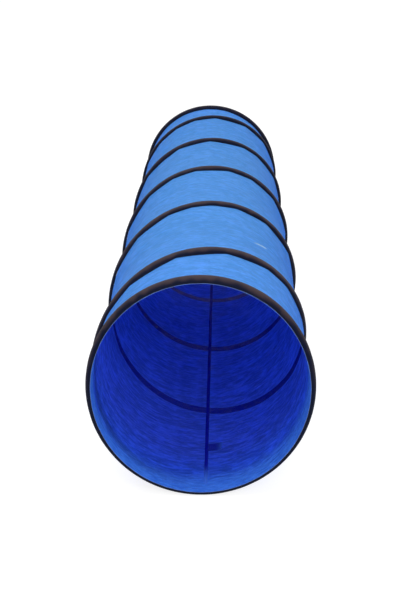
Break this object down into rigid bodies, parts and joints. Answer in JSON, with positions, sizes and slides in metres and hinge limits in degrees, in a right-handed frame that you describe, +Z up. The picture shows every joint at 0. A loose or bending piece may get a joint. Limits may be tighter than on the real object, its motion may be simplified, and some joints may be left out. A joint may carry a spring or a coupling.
{
  "type": "dog agility tunnel",
  "caption": "Collapsible fabric tunnel for dogs to run through, held open by a helical spring wire in a dark sewn casing, with a wire hoop at each mouth.",
  "frame": {"origin": "on the ground under the middle of the tunnel, halfway between the two mouths", "axes": "+Y along the bore from the front mouth to the rear one, +Z up"},
  "size_m": [0.6, 3.1, 0.5967],
  "materials": {
    "spring_steel": "bright drawn spring steel wire",
    "ferrule_aluminium": "crimped, satin",
    "casing_webbing": "dark brown-black woven polyester, faint sheen",
    "tunnel_fabric": "bright blue thin woven polyester, finely crinkled, lets light through",
    "seam_tape": "dark navy woven binding tape",
    "tab_fabric": "dark plain woven tab, blank"
  },
  "bodies": {
    "front_end": {"front_hoop_wire": "spring_steel", "front_hoop_ferrule": "ferrule_aluminium", "front_hem_casing": "casing_webbing", "coil_turn_1": "spring_steel", "coil_casing_1": "casing_webbing", "fabric_section_1": "tunnel_fabric", "seam_tape_1": "seam_tape", "seam_tab": "tab_fabric"},
    "section_2": {"coil_turn_2": "spring_steel", "coil_casing_2": "casing_webbing", "fabric_section_2": "tunnel_fabric", "seam_tape_2": "seam_tape"},
    "section_3": {"coil_turn_3": "spring_steel", "coil_casing_3": "casing_webbing", "fabric_section_3": "tunnel_fabric", "seam_tape_3": "seam_tape"},
    "section_4": {"coil_turn_4": "spring_steel", "coil_casing_4": "casing_webbing", "fabric_section_4": "tunnel_fabric", "seam_tape_4": "seam_tape"},
    "section_5": {"coil_turn_5": "spring_steel", "coil_casing_5": "casing_webbing", "fabric_section_5": "tunnel_fabric", "seam_tape_5": "seam_tape"},
    "rear_end": {"rear_hoop_wire": "spring_steel", "rear_hoop_ferrule": "ferrule_aluminium", "rear_hem_casing": "casing_webbing"}
  },
  "joints": [
    {"name": "collapse", "type": "slide", "parent": "front_end", "child": "rear_end", "axis": [0, -1, 0], "range_m": [0, 2.87], "stiffness_N_per_m": 2.5, "springref_m": -0.3, "deforming": ["coil_turn_5", "coil_casing_5", "fabric_section_5", "seam_tape_5"]},
    {"name": "section_2_slide", "type": "slide", "parent": "front_end", "child": "section_2", "axis": [0, -1, 0], "range_m": [0, 0.5597], "deforming": ["coil_turn_1", "coil_casing_1", "fabric_section_1", "seam_tape_1", "seam_tab"]},
    {"name": "section_3_slide", "type": "slide", "parent": "front_end", "child": "section_3", "axis": [0, -1, 0], "range_m": [0, 1.1434], "deforming": ["coil_turn_2", "coil_casing_2", "fabric_section_2", "seam_tape_2"]},
    {"name": "section_4_slide", "type": "slide", "parent": "front_end", "child": "section_4", "axis": [0, -1, 0], "range_m": [0, 1.7271], "deforming": ["coil_turn_3", "coil_casing_3", "fabric_section_3", "seam_tape_3"]},
    {"name": "section_5_slide", "type": "slide", "parent": "front_end", "child": "section_5", "axis": [0, -1, 0], "range_m": [0, 2.3108], "deforming": ["coil_turn_4", "coil_casing_4", "fabric_section_4", "seam_tape_4"]}
  ],
  "couplings": [
    {"joint": "section_2_slide", "follows": "collapse", "ratio": 0.19494},
    {"joint": "section_3_slide", "follows": "collapse", "ratio": 0.39831},
    {"joint": "section_4_slide", "follows": "collapse", "ratio": 0.60169},
    {"joint": "section_5_slide", "follows": "collapse", "ratio": 0.80506}
  ]
}
